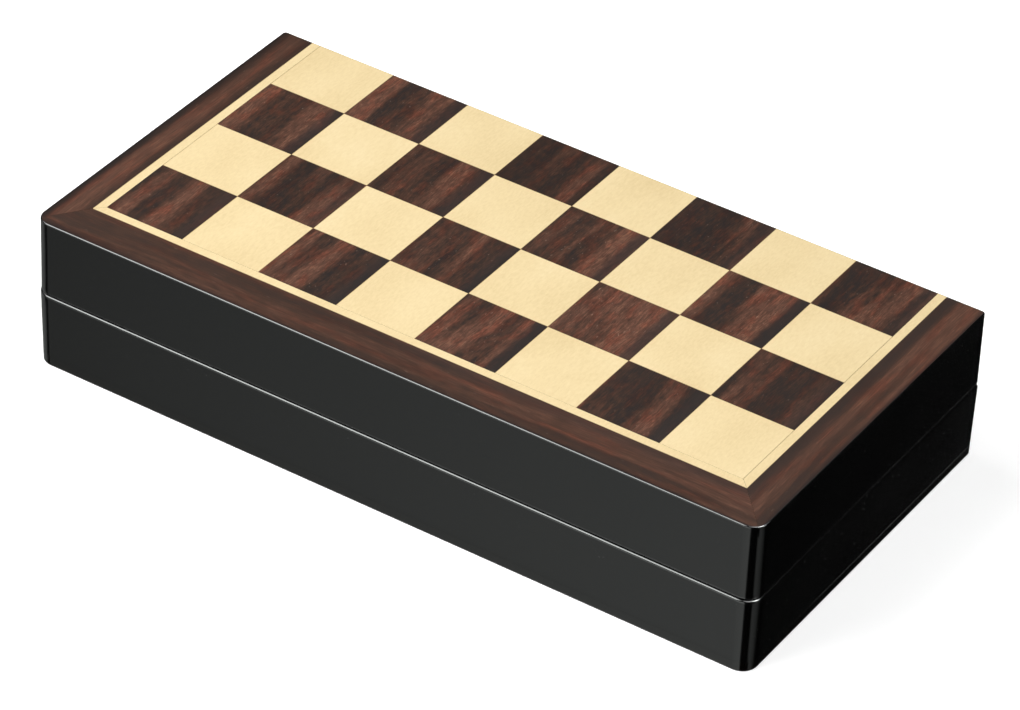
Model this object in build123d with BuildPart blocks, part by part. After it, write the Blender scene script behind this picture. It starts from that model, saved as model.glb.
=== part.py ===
from build123d import *
import os
from math import atan, degrees, hypot, sqrt

# A folding chess box, shut. Two shallow half boxes are hinged along one long side, and their outer
# faces carry the two halves of the playing board in veneer. Each half holds a foam tray with sixteen
# chessmen lying in it: the white men in the base, the black men in the lid.
#
# Millimetres. +X runs along the box, +Y towards the hinges, +Z up. The origin is at the middle of the
# bounding box, on the surface that the box stands on. Every half is modelled playing face down with
# its rim up, and the lid's pieces are then mirrored in the seam plane.

# ---- board ----
square = 32.0
columns = 8
rows = 4
stringing_width = 3.5
border_left = 12.5
border_right = 15.0
border_front = 16.8
rear_trim = 0.9  # taken off the row at the hinges when the two halves are trued to each other
joint_line = 0.06  # glue line between two pieces of veneer

# ---- half boxes ----
half_height = 29.8
seam_gap = 0.3
veneer = 0.6
panel_thickness = 3.2
wall = 9.0
corner_front = 6.0
corner_rear = 1.3
face_round = 0.5
rim_round = 0.8
flare = {"base": 0.5, "lid": 0.2}  # how far each rim stands out past its own playing face
overrun = 20.0  # spare stock that a cutting outline keeps beyond the edge it doesn't shape

# ---- hinges ----
hinge_x = (-88.0, 88.0)
hinge_width = 26.0
leaf_reach = 8.0
leaf_thickness = 1.0
mortise_play = 0.05  # across the width of a leaf
knuckle_radius = 2.0
knuckle_count = 5
knuckle_play = 0.3  # between one knuckle and the next
knuckle_notch = 0.4  # round a knuckle, in the wood and in the facing leaf
pin_radius = 0.88
pin_bore = {"base": 0.9, "lid": 0.95}
pin_end = 0.3  # how far a pin stands out at each end
open_gap = 0.4  # between the two rear walls when the box lies open
screw_spacing = 17.0
screw_head_radius = 1.9
screw_head_play = 0.25  # between a head's rim and the edge of its countersink
screw_neck = 0.1  # of a head's cone above the underside of the leaf
screw_shank_radius = 1.0
screw_length = 7.0
screw_inset = 4.2
screw_sink = 0.15  # of the heads below the leaf
slot_width = 0.5
slot_depth = 0.45

# ---- magnets ----
magnet_x = (-100.0, 100.0)
magnet_radius = 3.0
magnet_thickness = 2.5
magnet_sink = 0.1
magnet_play = 0.05

# ---- foam trays ----
tray_top = 22.0
tray_play = 0.3
pocket_play = 0.5
bed_play = 0.3
end_margin = 7.0  # from the tray's long edges to the feet of the men

# ---- chessmen ----
men_top = 28.0  # height of the feet's rims as the men lie
felt = 0.8
felt_inset = 0.7
foot_height = 7.2

# ---- derived sizes ----
length = columns * square + 2 * stringing_width + border_left + border_right
depth = rows * square - rear_trim + stringing_width + border_front
hinge_reach = open_gap / 2 + knuckle_radius
rear = (depth + flare["base"] - hinge_reach) / 2
front = rear - depth
left = -length / 2
right = length / 2
field_left = left + border_left + stringing_width
field_right = field_left + columns * square
field_front = front + border_front + stringing_width
panel_top = veneer + panel_thickness
seam_height = half_height + seam_gap / 2
hinge_y = rear + open_gap / 2
knuckle_width = hinge_width / knuckle_count
knuckles = {"base": (0, 2, 4), "lid": (1, 3)}
cavity_length = length - 2 * wall
cavity_depth = depth - 2 * wall
cavity_y = (front + rear) / 2
seam_plane = Plane.XY.offset(seam_height)


# ---------------------------------------------------------------- half boxes
def block(half):
    """The outside of one half, widening a little from its playing face to its rim."""
    lean = degrees(atan(flare[half] / half_height))
    with BuildPart() as outside:
        with BuildSketch() as plan:
            with Locations((0, front)):
                Rectangle(length, depth + overrun, align=(Align.CENTER, Align.MIN))
            fillet(plan.vertices().group_by(Axis.Y)[0], corner_front)
        extrude(amount=half_height, taper=-lean)
        split(bisect_by=Plane.XZ.offset(-rear), keep=Keep.TOP)
        rear_edges = outside.faces().sort_by(Axis.Y)[-1].edges().sort_by(Axis.X)
        fillet([rear_edges[0], rear_edges[-1]], corner_rear)
        fillet(outside.faces().sort_by(Axis.Z)[0].edges(), face_round)
        fillet(outside.faces().sort_by(Axis.Z)[-1].edges(), rim_round)
    return outside.part


def layer(half, low, high):
    """The slice of a half's block between two heights."""
    with BuildPart() as cut:
        add(blocks[half])
        with BuildSketch(Plane.XY.offset(low)):
            Rectangle(2 * length, 2 * depth)
        extrude(amount=high - low, mode=Mode.INTERSECT)
    return cut.part


def panel(half):
    """The board under the veneer, which closes a half and carries its rails."""
    with BuildPart() as board:
        add(layer(half, veneer, panel_top))
    return board.part


def rail(half, side):
    """One wall of a half, mitred at both ends, with its hinge or magnet seats."""
    spread = wall + overrun
    inner = {
        "front_left": (left + wall, front + wall),
        "front_right": (right - wall, front + wall),
        "rear_right": (right - wall, rear - wall),
        "rear_left": (left + wall, rear - wall),
    }
    outer = {
        "front_left": (left + wall - spread, front + wall - spread),
        "front_right": (right - wall + spread, front + wall - spread),
        "rear_right": (right - wall + spread, rear - wall + spread),
        "rear_left": (left + wall - spread, rear - wall + spread),
    }
    ends = {
        "front": ("front_left", "front_right"),
        "right": ("front_right", "rear_right"),
        "rear": ("rear_right", "rear_left"),
        "left": ("rear_left", "front_left"),
    }[side]
    with BuildPart() as wood:
        add(layer(half, panel_top, half_height))
        with BuildSketch(Plane.XY.offset(panel_top)):
            with BuildLine():
                Polyline(outer[ends[0]], outer[ends[1]], inner[ends[1]], inner[ends[0]], close=True)
            make_face()
        extrude(amount=half_height, mode=Mode.INTERSECT)
        if side == "front":
            with Locations(*[(x, front + wall / 2, half_height) for x in magnet_x]):
                Hole(magnet_radius + magnet_play, depth=magnet_sink + magnet_thickness)
        if side == "rear":
            with Locations(*[(x, rear + overrun, half_height + overrun) for x in hinge_x]):
                Box(
                    hinge_width + mortise_play,
                    leaf_reach + overrun,
                    leaf_thickness + overrun,
                    align=(Align.CENTER, Align.MAX, Align.MAX),
                    mode=Mode.SUBTRACT,
                )
            with Locations(*[(x, hinge_y, seam_height) for x in hinge_x]):
                Cylinder(
                    knuckle_radius + knuckle_notch,
                    hinge_width + 2 * knuckle_notch,
                    rotation=(0, 90, 0),
                    mode=Mode.SUBTRACT,
                )
            with Locations(*screw_places()):
                Hole(screw_shank_radius, depth=screw_length)
    return wood.part


def end_rails(half):
    """The two short walls of a half."""
    with BuildPart() as pair:
        add(rail(half, "left"))
        add(rail(half, "right"))
    return pair.part


# ---------------------------------------------------------------- veneers
def squares(half, colour):
    """All the squares of one colour on a half, sixteen separate pieces of veneer."""
    dark_corner = 0 if half == "lid" else 1
    wanted = dark_corner if colour == "dark" else 1 - dark_corner
    places = [
        (field_left + (column + 0.5) * square, field_front + (row + 0.5) * square)
        for column in range(columns)
        for row in range(rows)
        if (column + row) % 2 == wanted
    ]
    with BuildPart() as pieces:
        add(layer(half, 0, veneer))
        with BuildSketch():
            with Locations(*places):
                Rectangle(square - joint_line, square - joint_line)
        extrude(amount=veneer, mode=Mode.INTERSECT)
    return pieces.part


def strips(half, inner, outer):
    """Three mitred strips of veneer round the field, between two outlines given as left, right and front."""
    inner_left, inner_right, inner_front = inner
    outer_left, outer_right, outer_front = outer
    back = rear + overrun
    line = joint_line / 2
    outer_corners = ((outer_left, outer_front), (outer_right, outer_front))
    inner_corners = ((inner_left, inner_front), (inner_right, inner_front))
    outlines = (
        (*outer_corners, *reversed(inner_corners)),
        (outer_corners[0], inner_corners[0], (inner_left, back), (outer_left, back)),
        (outer_corners[1], (outer_right, back), (inner_right, back), inner_corners[1]),
    )
    with BuildPart() as pieces:
        add(layer(half, 0, veneer))
        with BuildSketch():
            for outline in outlines:
                with BuildSketch(mode=Mode.PRIVATE) as strip:
                    with BuildLine():
                        Polyline(*outline, close=True)
                    make_face()
                    offset(amount=-line, kind=Kind.INTERSECTION)
                add(strip.sketch)
        extrude(amount=veneer, mode=Mode.INTERSECT)
    return pieces.part


def stringing(half):
    """The light line between the field and the border."""
    return strips(
        half,
        (field_left, field_right, field_front),
        (field_left - stringing_width, field_right + stringing_width, field_front - stringing_width),
    )


def border(half):
    """The dark band round the board, out to the edges of the box."""
    share = overrun / border_front  # keeps each mitre on the line through the box's own corner
    return strips(
        half,
        (field_left - stringing_width, field_right + stringing_width, field_front - stringing_width),
        (left - border_left * share, right + border_right * share, front - overrun),
    )


# ---------------------------------------------------------------- hinges and magnets
def screw_places():
    """Where the hinge screws go in, on the rim of the rear rail."""
    return [
        (x + end * screw_spacing / 2, rear - screw_inset, half_height)
        for x in hinge_x
        for end in (-1, 1)
    ]


def knuckle_places(numbers):
    """The middles of the numbered knuckles of both hinges."""
    return [
        (x + (number + 0.5) * knuckle_width - hinge_width / 2, hinge_y, seam_height)
        for x in hinge_x
        for number in numbers
    ]


def hinge_leaves(half):
    """The two brass leaves of a half with the knuckles that belong to them."""
    own = knuckles[half]
    other = [number for number in range(knuckle_count) if number not in own]
    with BuildPart() as leaves:
        with Locations(*[(x, hinge_y, half_height) for x in hinge_x]):
            Box(
                hinge_width,
                leaf_reach + open_gap / 2,
                leaf_thickness,
                align=(Align.CENTER, Align.MAX, Align.MAX),
            )
        with Locations(*screw_places()):
            CounterSinkHole(screw_shank_radius, screw_head_radius, depth=leaf_thickness)
        with Locations(*knuckle_places(other)):
            Cylinder(
                knuckle_radius + knuckle_notch,
                knuckle_width + knuckle_play,
                rotation=(0, 90, 0),
                mode=Mode.SUBTRACT,
            )
        with Locations(*knuckle_places(own)):
            Cylinder(knuckle_radius, knuckle_width - knuckle_play, rotation=(0, 90, 0))
        with Locations(*[(x, hinge_y, seam_height) for x in hinge_x]):
            Cylinder(pin_bore[half], 2 * hinge_width, rotation=(0, 90, 0), mode=Mode.SUBTRACT)
    return leaves.part


def hinge_pins():
    """The pins of both hinges, with slightly domed ends."""
    with BuildPart() as pins:
        with Locations(*[(x, hinge_y, seam_height) for x in hinge_x]):
            Cylinder(pin_radius, hinge_width + 2 * pin_end, rotation=(0, 90, 0))
        fillet(pins.edges().filter_by(GeomType.CIRCLE), pin_end)
    return pins.part


def hinge_screws():
    """Four small countersunk wood screws with slotted heads."""
    with BuildPart() as screws:
        for place in screw_places():
            with BuildSketch(Plane(origin=place, x_dir=(1, 0, 0), z_dir=(0, -1, 0))):
                with BuildLine():
                    Polyline(
                        (0, -screw_sink),
                        (screw_head_radius - screw_head_play, -screw_sink),
                        (screw_shank_radius, -leaf_thickness + screw_neck),
                        (screw_shank_radius, -screw_length + 2 * screw_shank_radius),
                        (0, -screw_length),
                        close=True,
                    )
                make_face()
            revolve(axis=Axis(place, (0, 0, 1)))
            with Locations(place):
                Box(2 * screw_head_radius, slot_width, 2 * (screw_sink + slot_depth), mode=Mode.SUBTRACT)
    return screws.part


def magnets():
    """The disc magnets let into the rim of the front rail."""
    with BuildPart() as discs:
        with Locations(*[(x, front + wall / 2, half_height - magnet_sink) for x in magnet_x]):
            Cylinder(magnet_radius, magnet_thickness, align=(Align.CENTER, Align.CENTER, Align.MAX))
    return discs.part


# ---------------------------------------------------------------- chessmen
# Each kind of man: its foot's radius, its height, and how far its upper part stands out from the axis
# sideways and downwards as it lies.
sizes = {
    "king": (11.5, 62.0, 8.6, 8.6),
    "queen": (11.0, 55.0, 8.2, 8.2),
    "bishop": (10.0, 48.0, 6.9, 6.9),
    "knight": (10.0, 45.0, 10.4, 7.5),
    "rook": (10.0, 38.0, 8.1, 8.1),
    "pawn": (9.0, 34.0, 6.6, 6.6),
}


# A turned outline is a list of stretches, each (radius, height, bulge): the point where it ends, and
# how far it swells out of the wood on the way there. A hollow has a negative bulge.
def foot(radius, height=foot_height):
    """The turned base that every man shares: a rim, a rounded step and a smaller bead."""
    unit = (height - felt) / 6.4
    return [
        (radius - 0.5, felt, 0),
        (radius, felt + 0.5 * unit, 0),
        (radius, felt + 2.2 * unit, 0),
        (0.84 * radius, felt + 4.2 * unit, 0.6 * unit),
        (0.78 * radius, felt + 4.4 * unit, 0),
        (0.70 * radius, felt + 6.0 * unit, 0.45 * unit),
        (0.62 * radius, felt + 6.4 * unit, 0),
    ]


def collar(stem, height, disc, ring):
    """The flat disc and the smaller ring at the top of a stem."""
    return [
        (disc, height + 1.3, 0),
        (disc, height + 2.3, 0.4),
        (ring, height + 3.0, 0),
        (ring, height + 4.2, 0.5),
        (stem + 0.3, height + 4.6, 0),
    ]


def ball(radius, neck, top):
    """A ball that closes an outline on the axis."""
    start = top - radius - sqrt(radius**2 - neck**2)
    half_chord = hypot(neck, top - start) / 2
    return [(neck, start, 0), (0, top, radius - sqrt(radius**2 - half_chord**2))]


def turned(stretches):
    """The solid that an outline of stretches makes when it is turned on its axis."""
    with BuildPart() as wood:
        with BuildSketch(Plane.XZ):
            with BuildLine():
                here = (0, felt)
                for radius, height, bulge in stretches:
                    if bulge:
                        SagittaArc(here, (radius, height), -bulge)
                    else:
                        Line(here, (radius, height))
                    here = (radius, height)
                Line(here, (0, felt))
            make_face()
        revolve(axis=Axis.Z)
    return wood.part


def king():
    """The tallest man, with a flared crown and a cross."""
    radius, height = sizes["king"][:2]
    arms = 4
    arm_length = 2.8
    arm_width = 2.8
    arm_angle = 72
    cross_thickness = 2.0
    outline = [
        *foot(radius),
        (4.4, 34.0, -1.5),
        *collar(4.4, 34.0, 7.8, 5.8),
        (7.9, 51.0, -0.9),
        (8.3, 51.6, 0),
        (8.3, 52.4, 0.25),
        (3.4, 55.4, 0.8),
        (2.0, 55.8, 0),
        (1.6, 57.2, -0.2),
        (0, 57.2, 0),
    ]
    with BuildPart() as wood:
        add(turned(outline))
        with BuildSketch(Plane.XZ.offset(-cross_thickness / 2)):
            with Locations((0, height - arm_length)):
                Circle(arm_width / 3)
                with PolarLocations(arm_length / 2, arms):
                    Trapezoid(arm_width, arm_length, arm_angle, rotation=90)
        extrude(amount=-cross_thickness)
    return wood.part


def queen():
    """A flared coronet with a scalloped rim, closed by a small ball."""
    radius, height = sizes["queen"][:2]
    scallops = 8
    scallop_radius = 1.3
    scallop_length = 3.0
    rim = 49.0
    rim_middle = 7.4
    outline = [
        *foot(radius),
        (4.0, 30.8, -1.4),
        *collar(4.0, 30.8, 7.4, 5.4),
        (7.5, 47.4, -1.0),
        (8.1, 48.2, 0),
        (8.1, rim, 0),
        (7.0, rim, 0),
        (6.2, 47.8, 0),
        (2.0, 50.6, 0.8),
        *ball(2.2, 1.4, height),
    ]
    with BuildPart() as wood:
        add(turned(outline))
        with Locations((0, 0, rim + 0.5)):
            with PolarLocations(rim_middle, scallops):
                Cylinder(scallop_radius, scallop_length, rotation=(0, 90, 0), mode=Mode.SUBTRACT)
    return wood.part


def bishop():
    """A mitre with a slanting cut and a small ball."""
    radius, height = sizes["bishop"][:2]
    cut_place = (3.4, 0, 41.0)
    cut_tilt = -55
    cut_width = 1.1
    outline = [
        *foot(radius),
        (3.5, 26.8, -1.2),
        *collar(3.5, 26.8, 6.5, 4.8),
        (6.1, 36.6, 0.6),
        (1.5, 44.2, 1.2),
        *ball(1.9, 1.1, height),
    ]
    with BuildPart() as wood:
        add(turned(outline))
        with Locations(cut_place):
            Box(7.0, 2 * radius, cut_width, rotation=(0, cut_tilt, 0), mode=Mode.SUBTRACT)
    return wood.part


def knight():
    """A horse's head on a turned foot, looking along +X."""
    pedestal = 10.4
    shoulder = 6.2
    crown = 3.2
    sunk = 0.4  # of the head into its pedestal
    brow = 46.0  # where the sides of the head stop drawing together
    outline = [*foot(sizes["knight"][0]), (7.4, 9.2, -0.4), (7.4, pedestal, 0), (0, pedestal, 0)]
    head = [
        (6.2, pedestal - sunk, 0),
        (3.6, 22.6, 1.5),
        (5.0, 26.2, -0.5),
        (9.0, 24.6, -0.4),
        (10.4, 28.2, 0.7),
        (5.4, 37.2, 0.4),
        (4.0, 40.4, -0.3),
        (3.4, 45.0, 0.2),
        (0.4, 41.4, 0.2),
        (-8.2, 29.0, 2.4),
        (-6.4, pedestal - sunk, 0.9),
    ]
    with BuildPart() as wood:
        with BuildSketch(Plane.XZ):
            with BuildLine():
                here = head[-1][:2]
                for across, height, bulge in head:
                    if bulge:
                        SagittaArc(here, (across, height), -bulge)
                    else:
                        Line(here, (across, height))
                    here = (across, height)
            make_face()
        extrude(amount=shoulder, both=True)
        with BuildSketch(Plane.YZ):
            with BuildLine():
                Polyline(
                    (-shoulder, pedestal - sunk),
                    (shoulder, pedestal - sunk),
                    (crown, brow),
                    (-crown, brow),
                    close=True,
                )
            make_face()
        extrude(amount=2 * square, both=True, mode=Mode.INTERSECT)
        add(turned(outline))
    return wood.part


def rook():
    """A tower with six battlements round a sunk top."""
    radius, height = sizes["rook"][:2]
    cuts = 3  # each runs right across and makes two gaps
    cut_width = 2.4
    cut_depth = 2.6
    outline = [
        *foot(radius),
        (5.4, 22.4, -0.9),
        *collar(5.4, 22.4, 7.5, 6.3),
        (7.7, 30.4, -0.5),
        (8.1, 30.8, 0),
        (8.1, height, 0),
        (5.8, height, 0),
        (5.8, 34.6, 0),
        (0, 34.6, 0),
    ]
    with BuildPart() as wood:
        add(turned(outline))
        with Locations((0, 0, height)):
            with PolarLocations(0, cuts, angular_range=180, endpoint=False):
                Box(2 * radius, cut_width, 2 * cut_depth, mode=Mode.SUBTRACT)
    return wood.part


def pawn():
    """A plain ball on a collar."""
    radius, height = sizes["pawn"][:2]
    outline = [
        *foot(radius),
        (3.1, 19.4, -0.8),
        (6.2, 20.8, 0),
        (6.2, 21.8, 0.4),
        (3.9, 22.8, 0),
        *ball(5.5, 3.3, height),
    ]
    return turned(outline)


back_rank = ("rook", "knight", "bishop", "queen", "king", "bishop", "knight", "rook")
column_pitch = cavity_length / columns
rear_feet = cavity_y + cavity_depth / 2 - end_margin
front_feet = cavity_y - cavity_depth / 2 + end_margin


def layout():
    """Every man in a half: (name, kind, x, y of its foot, +1 if its head points to +Y and -1 if to -Y)."""
    men = []
    for column, kind in enumerate(back_rank):
        x = (column + 0.5) * column_pitch - cavity_length / 2
        paired = back_rank.count(kind) > 1
        name = f"{kind}_{back_rank[: column + 1].count(kind)}" if paired else kind
        men.append((name, kind, x, rear_feet, -1))
        men.append((f"pawn_{column + 1}", "pawn", x, front_feet, 1))
    return men


def lying(x, y, heading, kind):
    """Where a man's own frame goes as he lies in the tray, his head pointing along heading."""
    foot_radius = sizes[kind][0]
    return Location((x, y, men_top - foot_radius), (-90 * heading, 0, 0))


def man(kind, x, y, heading):
    """One man, laid in his pocket."""
    with BuildPart() as placed:
        with Locations(lying(x, y, heading, kind)):
            add(carved[kind])
    return placed.part


def felt_pads():
    """The round pads under all sixteen men of a half."""
    with BuildPart() as pads:
        for _, kind, x, y, heading in layout():
            with Locations(lying(x, y, heading, kind)):
                Cylinder(
                    sizes[kind][0] - felt_inset,
                    felt,
                    align=(Align.CENTER, Align.CENTER, Align.MIN),
                )
    return pads.part


def tray():
    """The foam tray, with a pocket for each man: a wide end for the foot and a narrower bed for the rest."""
    with BuildPart() as foam:
        with BuildSketch(Plane.XY.offset(panel_top)):
            with Locations((0, cavity_y)):
                Rectangle(cavity_length - 2 * tray_play, cavity_depth - 2 * tray_play)
        extrude(amount=tray_top - panel_top)
        for _, kind, x, y, heading in layout():
            foot_radius, height, reach_side, reach_down = sizes[kind]
            axis_height = men_top - foot_radius
            beds = (
                (foot_radius, foot_radius, -pocket_play, foot_height + pocket_play),
                (reach_side, reach_down, 0, height + pocket_play),
            )
            for half_width, down, start, end in beds:
                with Locations((x, y + heading * (start + end) / 2, tray_top)):
                    Box(
                        2 * (half_width + pocket_play),
                        end - start,
                        tray_top - (axis_height - down - bed_play),
                        align=(Align.CENTER, Align.CENTER, Align.MAX),
                        mode=Mode.SUBTRACT,
                    )
    return foam.part


# ---------------------------------------------------------------- writing the parts
def save(half, part, name):
    """Puts a part in its half of the box and writes it as a node."""
    with BuildPart() as node:
        add(part)
        if half == "lid":
            mirror(about=seam_plane, mode=Mode.REPLACE)
    node.part.label = name
    export_step(node.part, f"parts/{name}.step")


os.makedirs("parts", exist_ok=True)
blocks = {half: block(half) for half in ("base", "lid")}
carved = {
    "king": king(),
    "queen": queen(),
    "bishop": bishop(),
    "knight": knight(),
    "rook": rook(),
    "pawn": pawn(),
}
side_of = {"base": "white", "lid": "black"}

for half, side in side_of.items():
    save(half, panel(half), f"{half}_panel")
    save(half, rail(half, "front"), f"{half}_front_rail")
    save(half, rail(half, "rear"), f"{half}_rear_rail")
    save(half, end_rails(half), f"{half}_end_rails")
    save(half, squares(half, "light"), f"{half}_light_squares")
    save(half, squares(half, "dark"), f"{half}_dark_squares")
    save(half, stringing(half), f"{half}_stringing")
    save(half, border(half), f"{half}_border")
    save(half, hinge_leaves(half), f"{half}_hinge_leaves")
    save(half, hinge_screws(), f"{half}_hinge_screws")
    save(half, magnets(), f"{half}_magnets")
    save(half, tray(), f"{half}_tray")
    save(half, felt_pads(), f"{side}_felt_pads")
    for name, kind, x, y, heading in layout():
        save(half, man(kind, x, y, heading), f"{side}_{name}")
save("base", hinge_pins(), "hinge_pins")
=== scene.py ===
import math
from functools import partialmethod

import bpy
import numpy as np
from bpy.props import FloatProperty, FloatVectorProperty, IntProperty, PointerProperty
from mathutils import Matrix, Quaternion, Vector, geometry


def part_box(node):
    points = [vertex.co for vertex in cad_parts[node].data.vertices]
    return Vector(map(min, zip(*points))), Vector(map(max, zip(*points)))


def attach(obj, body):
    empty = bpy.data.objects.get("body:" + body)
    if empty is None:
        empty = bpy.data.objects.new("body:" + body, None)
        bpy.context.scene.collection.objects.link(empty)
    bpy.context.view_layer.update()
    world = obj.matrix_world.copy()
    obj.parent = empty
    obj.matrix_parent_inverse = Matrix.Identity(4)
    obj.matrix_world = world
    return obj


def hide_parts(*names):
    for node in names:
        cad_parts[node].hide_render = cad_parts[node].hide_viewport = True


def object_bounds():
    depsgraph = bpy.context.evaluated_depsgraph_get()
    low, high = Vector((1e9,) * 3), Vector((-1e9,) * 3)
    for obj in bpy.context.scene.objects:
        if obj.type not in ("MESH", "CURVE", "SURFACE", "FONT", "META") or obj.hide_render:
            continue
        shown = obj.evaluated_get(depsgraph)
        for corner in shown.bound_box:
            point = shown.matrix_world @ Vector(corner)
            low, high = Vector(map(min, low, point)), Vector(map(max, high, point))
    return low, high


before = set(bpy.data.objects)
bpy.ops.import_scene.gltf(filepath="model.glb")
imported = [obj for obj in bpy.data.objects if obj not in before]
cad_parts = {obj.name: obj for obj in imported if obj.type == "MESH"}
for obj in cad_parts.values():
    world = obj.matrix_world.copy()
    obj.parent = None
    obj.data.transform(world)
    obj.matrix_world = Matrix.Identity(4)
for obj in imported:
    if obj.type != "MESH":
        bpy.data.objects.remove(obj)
cad_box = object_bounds()

bl_info = {
    "name": "Folding Chess Box",
    "version": (1, 0, 0),
    "blender": (4, 5, 0),
    "location": "3D View > Sidebar > Chess Box",
    "description": "Finishes a folding chess box: veneers, lacquer, hinges, foam trays and chessmen",
    "category": "Object",
}

# Meshes are in metres, in the CAD model's own frame. Materials and outlines are in millimetres.
MM = 0.001
HALVES = {"base": "white", "lid": "black"}
RANKS = ("rook_1", "knight_1", "bishop_1", "queen", "king", "bishop_2", "knight_2", "rook_2")
MEN = RANKS + tuple(f"pawn_{number}" for number in range(1, 9))

# Colours, in linear light.
LACQUER = (0.0008, 0.0008, 0.0008)
BOTTOM_LACQUER = (0.0016, 0.0012, 0.0009)
WORN_EDGE = (0.62, 0.58, 0.54)
GLUE_LINE = (0.30, 0.17, 0.055)
GLUE_BED = (0.30, 0.19, 0.08)
PALE_GLUE_BED = (0.80, 0.63, 0.36)
DUST = (0.10, 0.10, 0.10)
OPEN_PORE = (0.018, 0.013, 0.012)
ROSEWOOD_FLECK = (0.34, 0.24, 0.18)
ROSEWOOD_HEART = (0.024, 0.020, 0.019)
BORDER_TONE = (0.060, 0.030, 0.020)
BORDER_HEART = (0.026, 0.019, 0.017)
# Painted shade along the border's outer edges.
BORDER_EDGE_SHADE = (0.010, 0.008, 0.008)
BOXWOOD = ((0.50, 0.30, 0.125), (0.64, 0.42, 0.19), (0.74, 0.53, 0.27))
BOXWOOD_RING = (0.44, 0.235, 0.085)
HINGE_BRASS = (0.36, 0.245, 0.095)
SCREW_BRASS = (0.45, 0.325, 0.145)
TARNISH = (0.19, 0.105, 0.035)
CARD_TONE = (0.96, 1.0, 0.97, 1.0)

# The chessmen, in millimetres. An outline is points (across, height, bulge of the stretch before).
OUTLINE_STEP = 0.35
FELT = 0.8
FELT_INSET = 0.75
KNIGHT_FOOT = (
    (0.0, 0.8, 0), (9.5, 0.8, 0), (10.0, 1.3, 0), (10.0, 3.0, 0), (8.4, 5.0, 0.6), (7.8, 5.2, 0),
    (7.0, 6.8, 0.45), (6.2, 7.2, 0), (7.4, 9.2, -0.4), (7.4, 10.4, 0), (0.0, 10.4, 0),
)
# The horse's head from the chest up over the muzzle, the brow and the ear, and down the mane.
KNIGHT_HEAD = (
    (6.2, 9.0, 0), (6.2, 10.0, 0), (3.6, 22.6, 1.5), (5.0, 26.2, -0.5), (9.0, 24.6, -0.4),
    (10.3, 28.2, 0.6), (5.4, 37.2, 0.4), (4.0, 40.4, -0.3), (3.4, 44.9, 0.2), (0.4, 41.4, 0.2),
    (-8.1, 29.0, 2.3), (-6.4, 10.0, 0.9), (-6.4, 9.0, 0),
)
MANE_START = 9
# Lines carved into each side of the head: (rise, width, points).
KNIGHT_CARVING = (
    (0.34, 0.30, ((3.2, 34.9), (4.6, 35.9), (6.2, 35.5))),
    (-0.45, 0.20, ((7.1, 27.3), (8.6, 26.8), (10.4, 25.9))),
    (0.30, 0.75, ((1.9, 40.3), (3.1, 44.0))),
    (-0.55, 0.26, ((2.4, 40.8), (3.1, 43.6))),
    (-0.30, 0.35, ((1.2, 37.6), (4.4, 39.4))),
)
HEAD_STEP = 0.33

# Hinges and trays, in millimetres. Men are measured at stations, counted from the foot.
HINGE_WIDTH = 26.0
POCKET_PLAY = 0.9
BED_PLAY = 0.35
SHOULDER = 1.1
STATIONS = np.arange(-6, 72, 0.5)

# Soft boxes: (azimuth, elevation, distance, width, watts).
SOFT_BOXES = (
    (-126, 43, 1.3, 0.9, 13.5),
    (-35, 52, 1.3, 0.9, 6.5),
    (48, 68, 1.3, 0.8, 4.3),
    (190, 55, 1.3, 0.8, 7.0),
)
# Standing cards: (name, two corners over the floor, glow at those corners).
CARD_DROP = 0.7
STANDING_CARDS = (
    ("front_card", (-0.62, -0.45), (0.27, -0.45), (0.16, 1.08)),
    ("side_card", (0.60, -0.19), (0.60, 0.16), (0.48, 0.0)),
    ("rear_card", (-0.70, 0.62), (0.28, 0.62), (0.35, 0.65)),
    ("left_card", (-0.72, -0.35), (-0.72, 0.45), (0.45, 0.25)),
)
# Cards hung high, which the rounded edges catch: (name, azimuth, elevation, distance, width, glow).
HUNG_CARDS = (("edge_card", -126, 43, 1.25, 0.8, 5.0), ("corner_card", 2, 46, 1.25, 0.40, 24.0))
SIDES = ((-1, -1), (1, -1), (1, 1), (-1, 1))
AIM = (0.00036, 0.0034, -0.01044)
ROOM_TONE = (0.004, 0.004, 0.004, 1.0)


def across(*nodes):
    """The lowest and highest corner of several CAD nodes together, in millimetres."""
    corners = [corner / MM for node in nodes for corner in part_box(node)]
    return [Vector(pick(axis) for axis in zip(*corners)) for pick in (min, max)]


def placed(name, data):
    """A new object in the scene, made of this data."""
    made = bpy.data.objects.new(name, data)
    bpy.context.scene.collection.objects.link(made)
    return made


field_low, field_high = across("lid_light_squares", "lid_dark_squares")
string_low, string_high = across("lid_stringing")
border_low, border_high = across("lid_border")
seam_height = (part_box("base_front_rail")[1].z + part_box("lid_front_rail")[0].z) / 2
SQUARE = (field_high.x - field_low.x) / 8


# ---- node trees
class Wire:
    """One output of a node. Arithmetic on it adds the Math nodes that work it out."""

    def __init__(self, graph, socket):
        self.graph = graph
        self.socket = socket

    def math(self, operation, *terms, last=False):
        """A Math node of this operation, with this value before the others or last."""
        values = (*terms, self) if last else (self, *terms)
        return self.graph.node("ShaderNodeMath", {"operation": operation}, dict(enumerate(values)))

    def part(self, name):
        """One axis of a vector."""
        return self.graph.node("ShaderNodeSeparateXYZ", None, {0: self}, output=name)


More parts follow.
